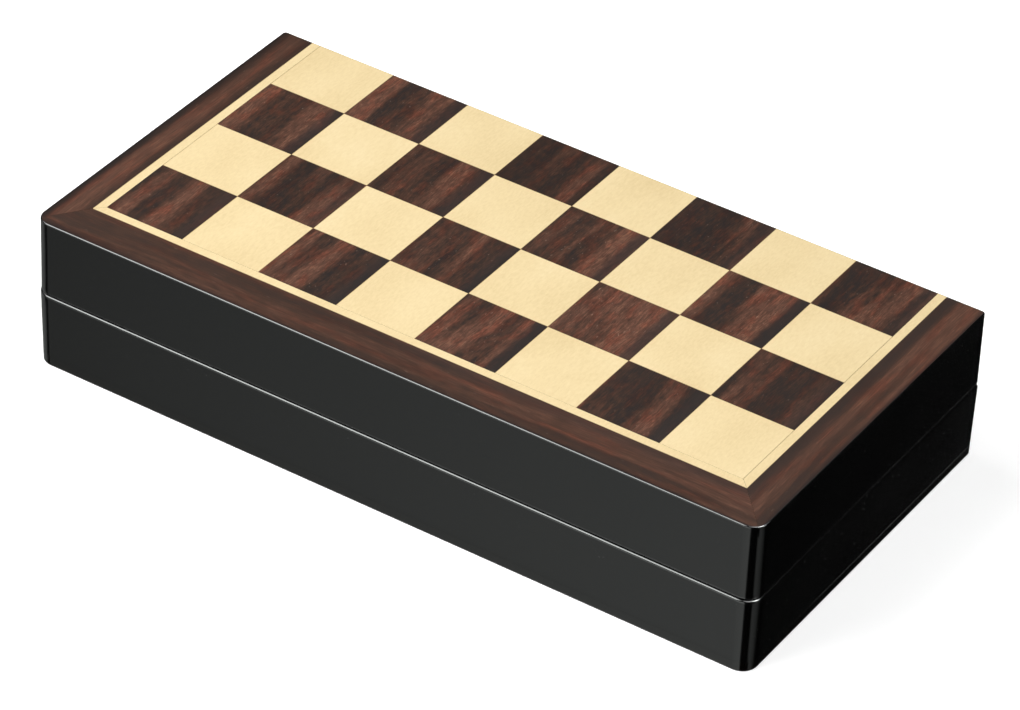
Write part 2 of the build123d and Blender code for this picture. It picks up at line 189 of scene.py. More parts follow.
for sign, operation in (
    ("add", "ADD"), ("sub", "SUBTRACT"), ("mul", "MULTIPLY"), ("truediv", "DIVIDE"),
):
    setattr(Wire, f"__{sign}__", partialmethod(Wire.math, operation))
    setattr(Wire, f"__r{sign}__", partialmethod(Wire.math, operation, last=True))
for name, operation in (
    ("__pow__", "POWER"), ("__lt__", "LESS_THAN"), ("__gt__", "GREATER_THAN"),
    ("__abs__", "ABSOLUTE"), ("floor", "FLOOR"), ("least", "MINIMUM"), ("most", "MAXIMUM"),
    ("sine", "SINE"), ("turn", "ARCTAN2"),
):
    setattr(Wire, name, partialmethod(Wire.math, operation))


class Graph:
    """A node tree that is written as Python expressions."""

    def __init__(self, tree):
        self.tree = tree

    def node(self, kind, settings=None, sockets=None, output=0):
        """Adds a node with its settings and its sockets' values or wires, and gives one output."""
        made = self.tree.nodes.new(kind)
        for name, value in (settings or {}).items():
            setattr(made, name, value)
        for key, value in (sockets or {}).items():
            socket = made.inputs[key]
            if isinstance(value, Wire):
                self.tree.links.new(value.socket, socket)
            else:
                socket.default_value = value
        if not made.outputs:
            return made
        return Wire(self, made.outputs[output])

    def vector(self, x, y, z):
        """A vector of three values."""
        return self.node("ShaderNodeCombineXYZ", None, {0: x, 1: y, 2: z})


class Finish(Graph):
    """A material for one of the maker's finishes."""

    def __init__(self, name):
        self.material = bpy.data.materials.new(name)
        self.material.use_nodes = True
        super().__init__(self.material.node_tree)
        self.tree.nodes.clear()
        self.place = self.node("ShaderNodeTexCoord", output="Object")
        self.x, self.y, self.z = (self.place.part(name) * (1 / MM) for name in "XYZ")
        self.face = (self.x, self.y, 0.0)

    def noise(self, scale, detail=2.0, roughness=0.5, seed=0.0, place=None):
        """Soft noise from 0 to 1, at the object's own place or another."""
        return self.node(
            "ShaderNodeTexNoise",
            {"noise_dimensions": "4D"},
            {
                "Vector": place or self.place, "W": seed, "Scale": scale, "Detail": detail,
                "Roughness": roughness,
            },
        )

    def grain(self, place, fine, long, detail=2.0, roughness=0.5, seed=0.0):
        """Noise at a place (across, along, into the wood), fine across and long along."""
        side, along, depth = place
        stretched = self.vector(side * fine, along * long, depth * fine)
        return self.noise(1.0, detail, roughness, seed, stretched)

    def span(self, value, low, high, start=0.0, end=1.0):
        """A value taken smoothly from one range to another, and held at its ends."""
        return self.node(
            "ShaderNodeMapRange",
            {"interpolation_type": "SMOOTHSTEP"},
            {0: value, 1: low, 2: high, 3: start, 4: end},
        )

    def ramp(self, value, *stops):
        """The colour that a value picks between stops, each (position, colour)."""
        picked = self.node("ShaderNodeValToRGB", None, {0: value})
        elements = picked.socket.node.color_ramp.elements
        while len(elements) < len(stops):
            elements.new(1.0)
        for element, (position, colour) in zip(elements, stops):
            element.position = position
            element.color = (*colour, 1.0)
        return picked

    def blend(self, share, first, second, mode="MIX"):
        """Two colours blended by a share."""
        colours = [value if isinstance(value, Wire) else (*value, 1.0) for value in (first, second)]
        settings = {"data_type": "RGBA", "blend_type": mode}
        return self.node("ShaderNodeMix", settings, {0: share, 6: colours[0], 7: colours[1]}, output=2)

    def bump(self, height, strength, distance, **base):
        """A normal, or the base's Normal, bent by a height whose full step is distance millimetres."""
        sockets = {"Strength": strength, "Distance": distance * MM, "Height": height, **base}
        return self.node("ShaderNodeBump", None, sockets)

    def surface(self, colour, roughness, **others):
        """Ends the tree in a Principled shader. Sockets have underscores for spaces."""
        sockets = {"Base Color": colour, "Roughness": roughness}
        sockets |= {name.replace("_", " "): value for name, value in others.items()}
        shader = self.node("ShaderNodeBsdfPrincipled", None, sockets)
        self.node("ShaderNodeOutputMaterial", None, {"Surface": shader})
        return self.material


class Pattern(Graph):
    """A Geometry Nodes tree that sets a piece on every point of a mesh. Its inputs are named."""

    def __init__(self, name, **inputs):
        super().__init__(bpy.data.node_groups.new(name, "GeometryNodeTree"))
        sides = self.tree.interface
        sides.new_socket("Geometry", in_out="INPUT", socket_type="NodeSocketGeometry")
        sides.new_socket("Geometry", in_out="OUTPUT", socket_type="NodeSocketGeometry")
        sides.new_socket("Material", in_out="INPUT", socket_type="NodeSocketMaterial")
        for key, value in inputs.items():
            kind = "NodeSocketVector" if isinstance(value, tuple) else "NodeSocketFloat"
            socket = sides.new_socket(self.title(key), in_out="INPUT", socket_type=kind)
            socket.default_value = value
        self.entry = self.tree.nodes.new("NodeGroupInput")
        for key in inputs:
            setattr(self, key, self.given(self.title(key)))
        self.place = self.node("GeometryNodeInputPosition")

    @staticmethod
    def title(key):
        """The label of an input in the modifier's panel."""
        return key.replace("_", " ").capitalize()

    def given(self, label):
        """What comes in under a label."""
        return Wire(self, self.entry.outputs[label])

    def rod(self, around, along, filled, radius, depth):
        """A cylinder of so many segments around, along and from rim to middle."""
        sizes = {
            "Vertices": around, "Side Segments": along, "Fill Segments": filled, "Radius": radius,
            "Depth": depth,
        }
        return self.node("GeometryNodeMeshCylinder", {"fill_type": "TRIANGLE_FAN"}, sizes)

    def moved(self, shape, **sockets):
        """A shape with its points set to a Position, or moved by an Offset."""
        return self.node("GeometryNodeSetPosition", None, {"Geometry": shape, **sockets})

    def joined(self, *shapes):
        """Several shapes as one."""
        join = self.tree.nodes.new("GeometryNodeJoinGeometry")
        for shape in shapes:
            self.tree.links.new(shape.socket, join.inputs[0])
        return Wire(self, join.outputs[0])

    def repeat(self, shape, rotation, scale=(1.0, 1.0, 1.0)):
        """The shape set on every point, with every copy made real."""
        points = self.given("Geometry")
        sockets = {"Points": points, "Instance": shape, "Rotation": rotation, "Scale": scale}
        copies = self.node("GeometryNodeInstanceOnPoints", None, sockets)
        return self.node("GeometryNodeRealizeInstances", None, {0: copies})

    def finish(self, shape):
        """Ends the tree with its material."""
        sockets = {"Geometry": shape, "Material": self.given("Material")}
        painted = self.node("GeometryNodeSetMaterial", None, sockets)
        self.node("NodeGroupOutput", None, {0: painted})

    def grow(self, points, material, radii=None, **values):
        """The plain mesh that the tree makes on these points."""
        mesh = bpy.data.meshes.new("points")
        mesh.from_pydata([tuple(point) for point in points], [], [])
        if radii is not None:
            mesh.attributes.new("radius", "FLOAT", "POINT").data.foreach_set("value", radii)
        carrier = placed("carrier", mesh)
        modifier = carrier.modifiers.new("pattern", "NODES")
        modifier.node_group = self.tree
        named = {self.title(key): value for key, value in values.items()}
        named["Material"] = material
        for item in self.tree.interface.items_tree:
            if item.in_out == "INPUT" and item.name in named:
                modifier[item.identifier] = named[item.name]
        shaped = carrier.evaluated_get(bpy.context.evaluated_depsgraph_get())
        grown = bpy.data.meshes.new_from_object(shaped)
        bpy.data.objects.remove(carrier)
        bpy.data.meshes.remove(mesh)
        return grown


def both(*parts):
    """The CAD nodes of these parts in the two halves."""
    return [f"{half}_{part}" for half in HALVES for part in parts]


def paint(material, *nodes):
    """Gives CAD nodes a material."""
    for node in nodes:
        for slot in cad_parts[node].material_slots:
            slot.material = material


# ---- woods
def straight_grain(finish, place, seed, width=1.0):
    """Straight grain: broad bands, streaks and fibres, each from 0 to 1."""
    sway = finish.grain(place, 0.03, 0.015, seed=seed) - 0.5
    side, along, depth = place
    place = ((side + sway * 9.0) / width, along, depth)
    bands = finish.grain(place, 0.12, 0.008, seed=seed)
    streaks = finish.grain(place, 0.55, 0.035, 3.0, 0.55, seed + 3.0)
    fibres = finish.grain(place, 2.0, 0.26, 3.0, 0.70, seed + 7.0)
    return bands, streaks, fibres


def rosewood_figure(finish, place, seed, width=1.0):
    """The colour of rosewood and the height of its pores."""
    bands, streaks, fibres = straight_grain(finish, place, seed, width)
    mottle = finish.grain(place, 0.45, 0.30, 4.0, 0.6, seed + 23.0)
    broad = finish.span(bands, 0.38, 0.62) * 0.42
    tone = broad + streaks * 0.36 + fibres * 1.15 + mottle * 0.45 - 0.750
    colour = finish.ramp(
        tone,
        (0.14, (0.0195, 0.0150, 0.0140)),
        (0.32, (0.0370, 0.0215, 0.0155)),
        (0.50, (0.0685, 0.0325, 0.0215)),
        (0.68, (0.1120, 0.0510, 0.0335)),
        (0.90, (0.2000, 0.0980, 0.0600)),
    )
    blush = finish.span(finish.grain(place, 0.30, 0.10, 3.0, seed=seed + 41.0), 0.46, 0.64)
    colour = finish.blend(blush * 0.75, colour, (1.28, 0.88, 0.80), "MULTIPLY")
    pits = finish.span(finish.grain(place, 2.9, 0.42, 1.0, 0.4, seed + 11.0), 0.62, 0.72)
    colour = finish.blend(pits * 0.55, colour, OPEN_PORE)
    flecks = finish.span(finish.grain(place, 1.7, 0.8, 0.0, seed=seed + 17.0), 0.76, 0.83)
    colour = finish.blend(flecks * 0.30, colour, ROSEWOOD_FLECK)
    return colour, fibres * 0.4 - pits


def pale_figure(finish, place, seed, colours):
    """The colour of a close-grained pale wood between three, and the height of its flecks."""
    cloud = finish.grain(place, 0.05, 0.03, 1.0, seed=seed)
    fleck = finish.grain(place, 1.3, 0.45, 3.0, 0.65, seed + 5.0)
    tone = cloud * 0.45 + fleck * 0.55
    return finish.ramp(tone, *zip((0.30, 0.52, 0.75), colours)), fleck


def board_cell(finish):
    """Where a point lies on the board: its column, its row and how far it is from its square's sides,
    except the side at the front stringing, where pale wood meets pale wood."""
    column_place = (finish.x - field_low.x) / SQUARE
    row_place = (finish.y - field_low.y) / SQUARE
    column = column_place.floor()
    row = row_place.floor()
    inset_x = 0.5 - abs(column_place - column - 0.5)
    by_string = (row_place < 0.5) * 0.5
    inset_y = (0.5 - abs(row_place - row - 0.5)).most(by_string)
    return column, row, inset_x.least(inset_y) * SQUARE


def from_sides(finish, low, high):
    """The distance to the nearest of the left, right and front sides of a box."""
    across_box = (finish.x - low.x).least(high.x - finish.x)
    return across_box.least(finish.y - low.y)


def veneer_coat(finish, colour, height, roughness):
    """The satin coat over every veneer, sunk a little into the grain. Lacquer covers its edges."""
    thickness = seam_height / MM * 2
    face_depth = finish.z.least(thickness - finish.z)
    rounded = face_depth > 0.012
    nicks = finish.noise(0.55 / MM, 0.0, seed=9.0)
    nicked = finish.span(nicks, 0.80, 0.83) * (face_depth < 0.25)
    colour = finish.blend(rounded, colour, finish.blend(nicked, LACQUER, WORN_EDGE))
    ripple = finish.noise(0.35 / MM)
    normal = finish.bump(height + ripple * 0.6, 0.10, 0.03)
    sheen = roughness + (finish.noise(60.0, 3.0) - 0.5) * 0.10 - rounded * 0.20
    return finish.surface(
        colour, sheen, Normal=normal, Specular_IOR_Level=0.42, Coat_Weight=rounded,
        Coat_Roughness=0.2, Coat_IOR=1.8,
    )


def dark_veneer():
    """Rosewood squares, each sawn from its own stretch of strip."""
    finish = Finish("rosewood_squares")
    column, row, _ = board_cell(finish)
    strip = (column / 2).floor()
    place = (finish.x + strip * 41.0, finish.y, 0.0)
    colour, height = rosewood_figure(finish, place, strip * 13.7 + row * 3.1)
    shade = finish.noise(1.0, seed=2.0, place=finish.vector(column * 7.3, row * 5.1, 0.0))
    tint = finish.span(shade, 0.30, 0.70, 0.82, 1.18)
    colour = finish.blend(1.0, colour, finish.vector(tint, tint, tint), "MULTIPLY")
    over = (finish.x - field_low.x) / SQUARE - column
    heart = finish.span(over, 0.80, 0.92) * finish.span(shade, 0.36, 0.52)
    colour = finish.blend(heart * 0.70, colour, ROSEWOOD_HEART)
    return veneer_coat(finish, colour, height, 0.40)


def light_veneer(wood):
    """Maple squares, with a brown line where each was glued to the next."""
    finish = Finish("maple_squares")
    column, row, edge = board_cell(finish)
    colour, height = pale_figure(finish, finish.face, column * 5.3 + row * 9.1, wood)
    glue = 1 - finish.span(edge, 0.06, 0.30)
    colour = finish.blend(glue * 0.55, colour, GLUE_LINE)
    return veneer_coat(finish, colour, height, 0.42)


def stringing_veneer(wood):
    """The maple line round the field."""
    finish = Finish("maple_stringing")
    colour, height = pale_figure(finish, finish.face, 4.0, wood)
    glue = 1 - finish.span(from_sides(finish, string_low, string_high), 0.05, 0.28)
    colour = finish.blend(glue * 0.5, colour, GLUE_LINE)
    return veneer_coat(finish, colour, height, 0.42)


def border_veneer():
    """Rosewood strips that run along the sides of the board and meet in mitres at its corners."""
    finish = Finish("rosewood_border")
    left = (finish.x - border_low.x) / (string_low.x - border_low.x)
    right = (border_high.x - finish.x) / (border_high.x - string_high.x)
    front = (finish.y - border_low.y) / (string_low.y - border_low.y)
    is_front = front < left.least(right)
    is_side = 1 - is_front
    side = finish.y * is_front + finish.x * is_side
    along = (finish.x * is_front + finish.y * is_side) * 0.45
    seed = 31.0 + is_front * 8.0 + (finish.x > 0.0) * is_side * 17.0
    colour, height = rosewood_figure(finish, (side, along, 0.0), seed, 0.9)
    colour = finish.blend(0.30, colour, BORDER_TONE)
    from_string = 1 - left.least(right).least(front)
    heart = (1 - finish.span(from_string, 0.12, 0.40)) * finish.span(finish.x, -50.0, 30.0)
    colour = finish.blend(heart * 0.60, colour, BORDER_HEART)
    # Painted shade: the border darkens towards its outer edges, where the rounded edge turns from the
    # light, in a band that is wider on the left.
    reach = finish.span(finish.x, -130.0, -20.0, 4.4, 1.9)
    edge_shade = 1 - finish.span(from_sides(finish, border_low, border_high), 0.4, reach)
    colour = finish.blend(edge_shade * 0.85, colour, BORDER_EDGE_SHADE)
    return veneer_coat(finish, colour, height, 0.40)


def turned_wood(name, dark):
    """Polished wood for the chessmen, its grain along each man's axis."""
    finish = Finish(name)
    place = (finish.x, finish.y, finish.z)
    seed = (finish.x / 33.0).floor() * 3.7
    if dark:
        colour, height = rosewood_figure(finish, place, seed, 0.8)
        gloss = 0.32
    else:
        colour, height = pale_figure(finish, place, seed, BOXWOOD)
        rings = finish.span(finish.grain(place, 0.9, 0.03, 3.0, seed=seed + 2.0), 0.48, 0.66)
        colour = finish.blend(rings * 0.45, colour, BOXWOOD_RING)
        gloss = 0.28
    normal = finish.bump(height, 0.05, 0.03)
    roughness = gloss + (height - 0.3) * 0.06
    return finish.surface(
        colour, roughness, Normal=normal, Specular_IOR_Level=0.38, Coat_Weight=0.15,
        Coat_Roughness=0.15,
    )


# ---- other finishes
def black_lacquer():
    """Satin black lacquer over wood, with a hairline where the panel meets the rails."""
    finish = Finish("black_lacquer")
    panel_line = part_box("base_panel")[1].z / MM
    height = seam_height / MM
    from_seam = abs(finish.z - height)
    line = abs(from_seam - (height - panel_line))
    crease = 1 - finish.span(line, 0.05, 0.22)
    below = finish.z < height
    stretched = finish.vector(finish.x * 0.05, finish.y * 0.05, finish.z * 1.2)
    grain = finish.noise(1.0, 3.0, seed=1.0, place=stretched)
    peel = finish.noise(900.0, 1.0)
    wave = finish.noise(45.0, 1.0)
    dust = finish.noise(1500.0, 0.0, seed=5.0)
    specks = finish.span(dust, 0.83, 0.87)
    colour = finish.blend(finish.span(from_seam, 25.6, 26.4) * below, LACQUER, BOTTOM_LACQUER)
    under_veneer = from_seam > (seam_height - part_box("base_panel")[0].z) / MM - 0.02
    glued = under_veneer * (from_sides(finish, border_low, border_high) > 4.0)
    at_string = finish.y < field_low.y + 0.2
    colour = finish.blend(glued, colour, finish.blend(at_string, GLUE_BED, PALE_GLUE_BED))
    colour = finish.blend(specks * 0.25, colour, DUST)
    normal = finish.bump(peel * 0.25 + wave + grain * 0.15, 0.05, 0.10)
    normal = finish.bump(1 - crease * (0.35 + below * 0.65), 0.5, 0.05, Normal=normal)
    roughness = 0.17 + (wave - 0.5) * 0.05 + specks * 0.3
    rim = (from_seam > 0.17) * (from_seam < 1.0)
    return finish.surface(
        colour, roughness, Normal=normal, Coat_Weight=rim, Coat_Roughness=0.18, Coat_IOR=1.8
    )


def brushed_brass(name, tone):
    """Brass brushed along the hinges, a little tarnished."""
    finish = Finish(name)
    stretched = finish.vector(finish.x * 0.4, finish.y * 9.0, finish.z * 9.0)
    brush = finish.noise(1.0, 3.0, place=stretched)
    tarnish = finish.noise(260.0, 4.0, 0.6)
    colour = finish.blend(finish.span(tarnish, 0.45, 0.75) * 0.5, tone, TARNISH)
    roughness = 0.30 + brush * 0.18 + tarnish * 0.10
    normal = finish.bump(brush, 0.15, 0.02)
    return finish.surface(colour, roughness, Metallic=1.0, Normal=normal)


def nickel_plate():
    """Bright nickel on the magnets, with fine scuffs."""
    finish = Finish("nickel_plate")
    stretched = finish.vector(finish.x * 2.0, finish.y * 11.0, finish.z)
    scuffs = finish.noise(1.0, 4.0, 0.7, place=stretched)
    colour = finish.ramp(scuffs, (0.3, (0.24, 0.235, 0.225)), (0.7, (0.34, 0.33, 0.32)))
    normal = finish.bump(scuffs, 0.08, 0.01)
    return finish.surface(colour, 0.26 + scuffs * 0.20, Metallic=1.0, Normal=normal)


def flocking():
    """Short dark red pile glued over the foam."""
    finish = Finish("tray_flocking")
    pile = finish.noise(2600.0, 2.0, 0.7)
    nap = finish.noise(90.0, 3.0)
    colour = finish.ramp(
        pile * 0.6 + nap * 0.4,
        (0.34, (0.022, 0.002, 0.004)),
        (0.52, (0.070, 0.006, 0.010)),
        (0.70, (0.150, 0.018, 0.022)),
    )
    normal = finish.bump(pile + nap * 0.5, 0.8, 0.25)
    return finish.surface(
        colour, 0.95, Normal=normal, Sheen_Weight=0.12, Sheen_Roughness=0.4, Specular_IOR_Level=0.05
    )


def baize():
    """Green felt under the chessmen."""
    finish = Finish("green_baize")
    wool = finish.noise(1900.0, 4.0, 0.75)
    matting = finish.noise(420.0, 3.0)
    colour = finish.ramp(
        wool * 0.6 + matting * 0.4, (0.35, (0.010, 0.045, 0.022)), (0.65, (0.040, 0.135, 0.070))
    )
    normal = finish.bump(wool, 0.9, 0.2)
    return finish.surface(colour, 0.96, Normal=normal, Sheen_Weight=0.4, Specular_IOR_Level=0.1)


# ---- meshes
def new_piece(name, mesh, material, body, slot, *replaced):
    """Puts a finished mesh into the scene as a piece that rides on a body."""
    piece = placed(name, mesh)
    mesh.name = name
    mesh.materials.clear()
    mesh.materials.append(material)
    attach(piece, body)
    if replaced:
        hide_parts(*replaced)
    return piece


def shell(name, points, faces, half):
    """A mesh of points in millimetres, laid in the base or mirrored in the seam into the lid."""
    places = np.asarray(points) * MM
    if half == "lid":
        places = places * (1, 1, -1) + (0, 0, 2 * seam_height)
        faces = [tuple(reversed(face)) for face in faces]
    mesh = bpy.data.meshes.new(name)
    mesh.from_pydata(places.tolist(), [], faces)
    mesh.shade_smooth()
    return mesh


def outline(stretches):
    """Points along stretches, each (across, height, bulge): its end, and its swell to the right."""
    points = [stretches[0][:2]]
    for across_end, height_end, bulge in stretches[1:]:
        start = np.array(points[-1])
        way = np.array((across_end, height_end)) - start
        length = math.hypot(*way)
        swell = np.array((way[1], -way[0])) / length * bulge
        steps = max(1, round(length / OUTLINE_STEP)) if length > 2 * OUTLINE_STEP or bulge else 1
        for step in range(1, steps + 1):
            share = step / steps
            points.append(tuple(start + way * share + swell * 4 * share * (1 - share)))
    return points


def lathe(profile, segments):
    """Points and faces of a profile (radius, height), from axis to axis, turned about +Z."""
    turns = [2 * math.pi * step / segments for step in range(segments)]
    points = [(0.0, 0.0, profile[0][1])]
    for radius, height in profile[1:-1]:
        points += [(radius * math.cos(turn), radius * math.sin(turn), height) for turn in turns]
    points.append((0.0, 0.0, profile[-1][1]))
    last = len(points) - 1
    top = last - segments
    faces = []
    for step in range(segments):
        following = (step + 1) % segments
        faces.append((0, 1 + following, 1 + step))
        for low in range(1, top, segments):
            high = low + segments
            faces.append((low + step, low + following, high + following, high + step))
        faces.append((top + step, top + following, last))
    return points, faces


def to_line(x, z, line):
    """The distance of every point to a line of points."""
    nearest = np.full(x.shape, 1e9)
    for (x0, z0), (x1, z1) in zip(line[:-1], line[1:]):
        run, rise = x1 - x0, z1 - z0
        share = np.clip(((x - x0) * run + (z - z0) * rise) / (run * run + rise * rise + 1e-12), 0, 1)
        nearest = np.minimum(nearest, np.hypot(x - x0 - share * run, z - z0 - share * rise))
    return nearest


def soft_step(value, low, high):
    """0 below low and 1 above high, smooth between them."""
    share = np.clip((value - low) / (high - low), 0, 1)
    return share * share * (3 - 2 * share)


def ridge(distance, width):
    """1 on a line and 0 away from it."""
    return np.exp(-((distance / width) ** 2) / 2)


def man_node(half, name):
    """The CAD node of a man in one half."""
    return f"{HALVES[half]}_{name}"


# ---- chessmen
def knight_relief(x, z, front, back):
    """How far each side of the head stands out from its middle plane, in millimetres."""
    to_mane = to_line(x, z, back)
    edge = np.minimum.reduce((to_line(x, z, front), to_mane, (z - KNIGHT_HEAD[0][1]) * 3))
    thickness = np.interp(z, (9, 14, 22, 30, 37, 41, 45), (5.7, 5.3, 4.4, 3.9, 3.3, 2.3, 1.3))
    thickness -= soft_step(x, 5.5, 9.5) * soft_step(-z, -33, -28) * 0.9
    roundness = np.clip(edge / np.minimum(thickness, 4.2), 0, 1)
    side = np.sqrt(1 - (1 - roundness) ** 2)
    mane = soft_step(-to_mane, -4.5, -4.0) * soft_step(z, 11.0, 12.5)
    locks = np.sin((to_mane * 0.75 + z) * 2.9)
    cheek = soft_step(-np.hypot(x - 3.6, z - 30.2), -3.9, -3.2)
    to_eye = np.hypot(x - 5.0, z - 34.1)
    eyeball = np.sqrt(np.clip(1 - (to_eye / 0.8) ** 2, 0, 1))
    relief = mane * (0.42 + 0.26 * locks) + cheek * 0.35
    relief += 0.42 * eyeball - 0.50 * ridge(to_eye, 0.95)
    relief -= 0.50 * ridge(np.hypot(x - 9.3, (z - 28.3) * 1.3), 0.34)
    for rise, width, line in KNIGHT_CARVING:
        relief += rise * ridge(to_line(x, z, line), width)
    return (thickness * 0.88 + relief) * side


def knight_head():
    """Points and faces of the carved head, standing and looking along +X."""
    rim = outline(KNIGHT_HEAD)
    back_start = len(outline(KNIGHT_HEAD[:MANE_START + 1])) - 1
    front = rim[1:back_start + 1]
    back = rim[back_start:-1]
    corners = np.array(rim)
    ahead = np.roll(corners, -1, axis=0) - np.roll(corners, 1, axis=0)
    inward = np.stack((-ahead[:, 1], ahead[:, 0]), axis=1) / np.linalg.norm(ahead, axis=1)[:, None]
    loop = rim + [rim[0]]
    inside = []
    for inset in (0.07, 0.20):
        points = corners + inward * inset
        kept = to_line(points[:, 0], points[:, 1], loop) > inset * 0.95
        inside += points[kept].tolist()
    grid_x, grid_z = np.meshgrid(np.arange(-10, 12, HEAD_STEP), np.arange(9, 46, HEAD_STEP))
    grid_x = (grid_x + (np.arange(len(grid_x)) % 2)[:, None] * HEAD_STEP / 2).ravel()
    grid_z = grid_z.ravel()
    kept = to_line(grid_x, grid_z, loop) > HEAD_STEP
    inside += np.stack((grid_x[kept], grid_z[kept]), axis=1).tolist()
    sides = [(index, (index + 1) % len(rim)) for index in range(len(rim))]
    made = geometry.delaunay_2d_cdt([Vector(point) for point in rim + inside], sides, [], 1, 1e-5)
    flat = np.array([tuple(point) for point in made[0]])
    triangles = made[2]
    on_rim = to_line(flat[:, 0], flat[:, 1], loop) < 1e-4
    depth = np.where(on_rim, 0.0, knight_relief(flat[:, 0], flat[:, 1], front, back))
    points = [(x, -y, z) for (x, z), y in zip(flat, depth)]
    far = list(range(len(points)))
    for index, (x, z) in enumerate(flat):
        if not on_rim[index]:
            far[index] = len(points)
            points.append((x, depth[index], z))
    faces = [tuple(face) for face in triangles]
    faces += [tuple(far[index] for index in reversed(face)) for face in triangles]
    return points, faces


def laid(points, x, y, z):
    """A standing man's points as he lies, his foot's middle at a place and his head along -Y."""
    turned = np.array(points)
    return np.stack((turned[:, 0] + x, y - turned[:, 2], turned[:, 1] + z), axis=1)


def men_places():
    """Every man of the base: (name, x, y of his foot, height of his axis, foot radius, heading)."""
    front, rear = (corner.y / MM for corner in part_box("white_felt_pads"))
    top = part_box("white_king")[1].z / MM
    places = []
    for column, officer in enumerate(RANKS, 1):
        middle = sum(corner.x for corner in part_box(f"white_pawn_{column}")) / 2 / MM
        for name, y, heading in ((officer, rear, -1), (f"pawn_{column}", front, 1)):
            # A man's foot is his widest part on his left.
            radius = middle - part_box(f"white_{name}")[0].x / MM
            places.append((name, middle, y, top - radius, radius, heading))
    return places


def felt_pattern():
    """Round pads of felt with softened, slightly woolly edges."""
    discs = Pattern(
        "felt_discs", thickness=FELT * MM, roughness=0.05 * MM, turn=(math.pi / 2, 0.0, 0.0)
    )
    disc = discs.rod(40, 4, 3, 1.0, discs.thickness)
    level = discs.place.part("Z") / discs.thickness * 2
    pull = 1 - abs(level) ** 4.0 * 0.04
    x, y, z = (discs.place.part(name) for name in "XYZ")
    rounded = discs.vector(x * pull, y * pull, z)
    disc = discs.moved(disc, Position=rounded)
    radius = discs.node("GeometryNodeInputNamedAttribute", {"data_type": "FLOAT"}, {"Name": "radius"})
    pads = discs.repeat(disc, discs.turn, discs.vector(radius, radius, 1.0))
    place = {"Vector": discs.place, "Scale": 1400.0, "Detail": 1.0}
    wool = discs.node("ShaderNodeTexNoise", {"noise_dimensions": "3D"}, place, 1)
    push = discs.node("ShaderNodeVectorMath", {"operation": "SUBTRACT"}, {0: wool, 1: (0.5, 0.5, 0.5)})
    scaled = {0: push, "Scale": discs.roughness}
    push = discs.node("ShaderNodeVectorMath", {"operation": "SCALE"}, scaled)
    discs.finish(discs.moved(pads, Offset=push))
    return discs


def screw_pattern():
    """Slotted countersunk wood screws, their heads' faces on the points."""
    screws = Pattern(
        "hinge_screws", head_radius=1.65 * MM, head_depth=0.75 * MM, shank_radius=0.86 * MM,
        length=6.8 * MM, pitch=0.75 * MM, thread=0.12 * MM, slot_width=0.5 * MM, slot_depth=0.45 * MM,
        turn=(0.0, 0.0, 0.0),
    )
    cone = {
        "Vertices": 48, "Side Segments": 2, "Fill Segments": 1, "Radius Top": screws.head_radius,
        "Radius Bottom": screws.shank_radius, "Depth": screws.head_depth,
    }
    head = screws.node("GeometryNodeMeshCone", {"fill_type": "NGON"}, cone)
    head = screws.moved(head, Offset=screws.vector(0.0, 0.0, screws.head_depth * -1))
    slot = screws.vector(screws.head_radius * 3, screws.slot_width, screws.slot_depth * 2)
    slot = screws.node("GeometryNodeMeshCube", None, {"Size": slot})
    head = screws.node(
        "GeometryNodeMeshBoolean", {"operation": "DIFFERENCE", "solver": "EXACT"}, {0: head, 1: slot}
    )
    depth = screws.length - screws.head_depth * 0.6
    shank = screws.rod(24, 80, 1, screws.shank_radius, depth)
    x, y, z = (screws.place.part(name) for name in "XYZ")
    turn = y.turn(x)
    wave = (turn + z / screws.pitch * (2 * math.pi)).sine() * screws.thread / screws.shank_radius
    from_tip = (z / depth + 0.5) * 4
    taper = from_tip.least(1.0).most(0.05) ** 0.7
    from_head = (0.5 - z / depth) * 4
    size = taper * (1 + wave * from_head.least(1.0)) * 0.94
    sunk = z - screws.head_depth * 0.6 - depth * 0.5
    shank = screws.moved(shank, Position=screws.vector(x * size, y * size, sunk))
    random = {2: -0.7, 3: 0.7, "Seed": 5}
    spin = screws.node("FunctionNodeRandomValue", {"data_type": "FLOAT"}, random, 1)
    spun = {0: screws.turn, 1: screws.vector(0.0, 0.0, spin)}
    turn = screws.node("ShaderNodeVectorMath", {"operation": "ADD"}, spun)
    screws.finish(screws.repeat(screws.joined(head, shank), turn))
    return screws


def screw_places(half):
    """The faces of the hinge screws' heads in one half."""
    leaf_low, leaf_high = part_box(f"{half}_hinge_leaves")
    low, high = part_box(f"{half}_hinge_screws")
    head = (high.y - low.y) / 2
    width = HINGE_WIDTH * MM
    face = high.z if half == "base" else low.z
    reach = leaf_low.x + width / 2 - (low.x + head)
    middles = (leaf_low.x + width / 2, leaf_high.x - width / 2)
    line = (low.y + high.y) / 2
    return [(middle + side * reach, line, face) for middle in middles for side in (-1, 1)]


# ---- trays
def man_reach(node, x, y, z, heading):
    """How far a man reaches to his left, to his right and down, at every station from his foot."""
    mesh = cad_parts[node].data
    points = np.empty(len(mesh.vertices) * 3)
    mesh.vertices.foreach_get("co", points)
    ends = np.empty(len(mesh.edges) * 2, dtype=np.int64)
    mesh.edges.foreach_get("vertices", ends)
    points = points.reshape(-1, 3) / MM - (x, y, z)
    first, last = points[ends[0::2]], points[ends[1::2]]
    reach = np.zeros((3, len(STATIONS)))
    for share in np.linspace(0, 1, 12):
        place = first + (last - first) * share
        nearest = np.clip(np.searchsorted(STATIONS, place[:, 1] * heading), 0, len(STATIONS) - 1)
        for row, value in enumerate((-place[:, 0], place[:, 0], -place[:, 2])):
            np.maximum.at(reach[row], nearest, value)
    return reach


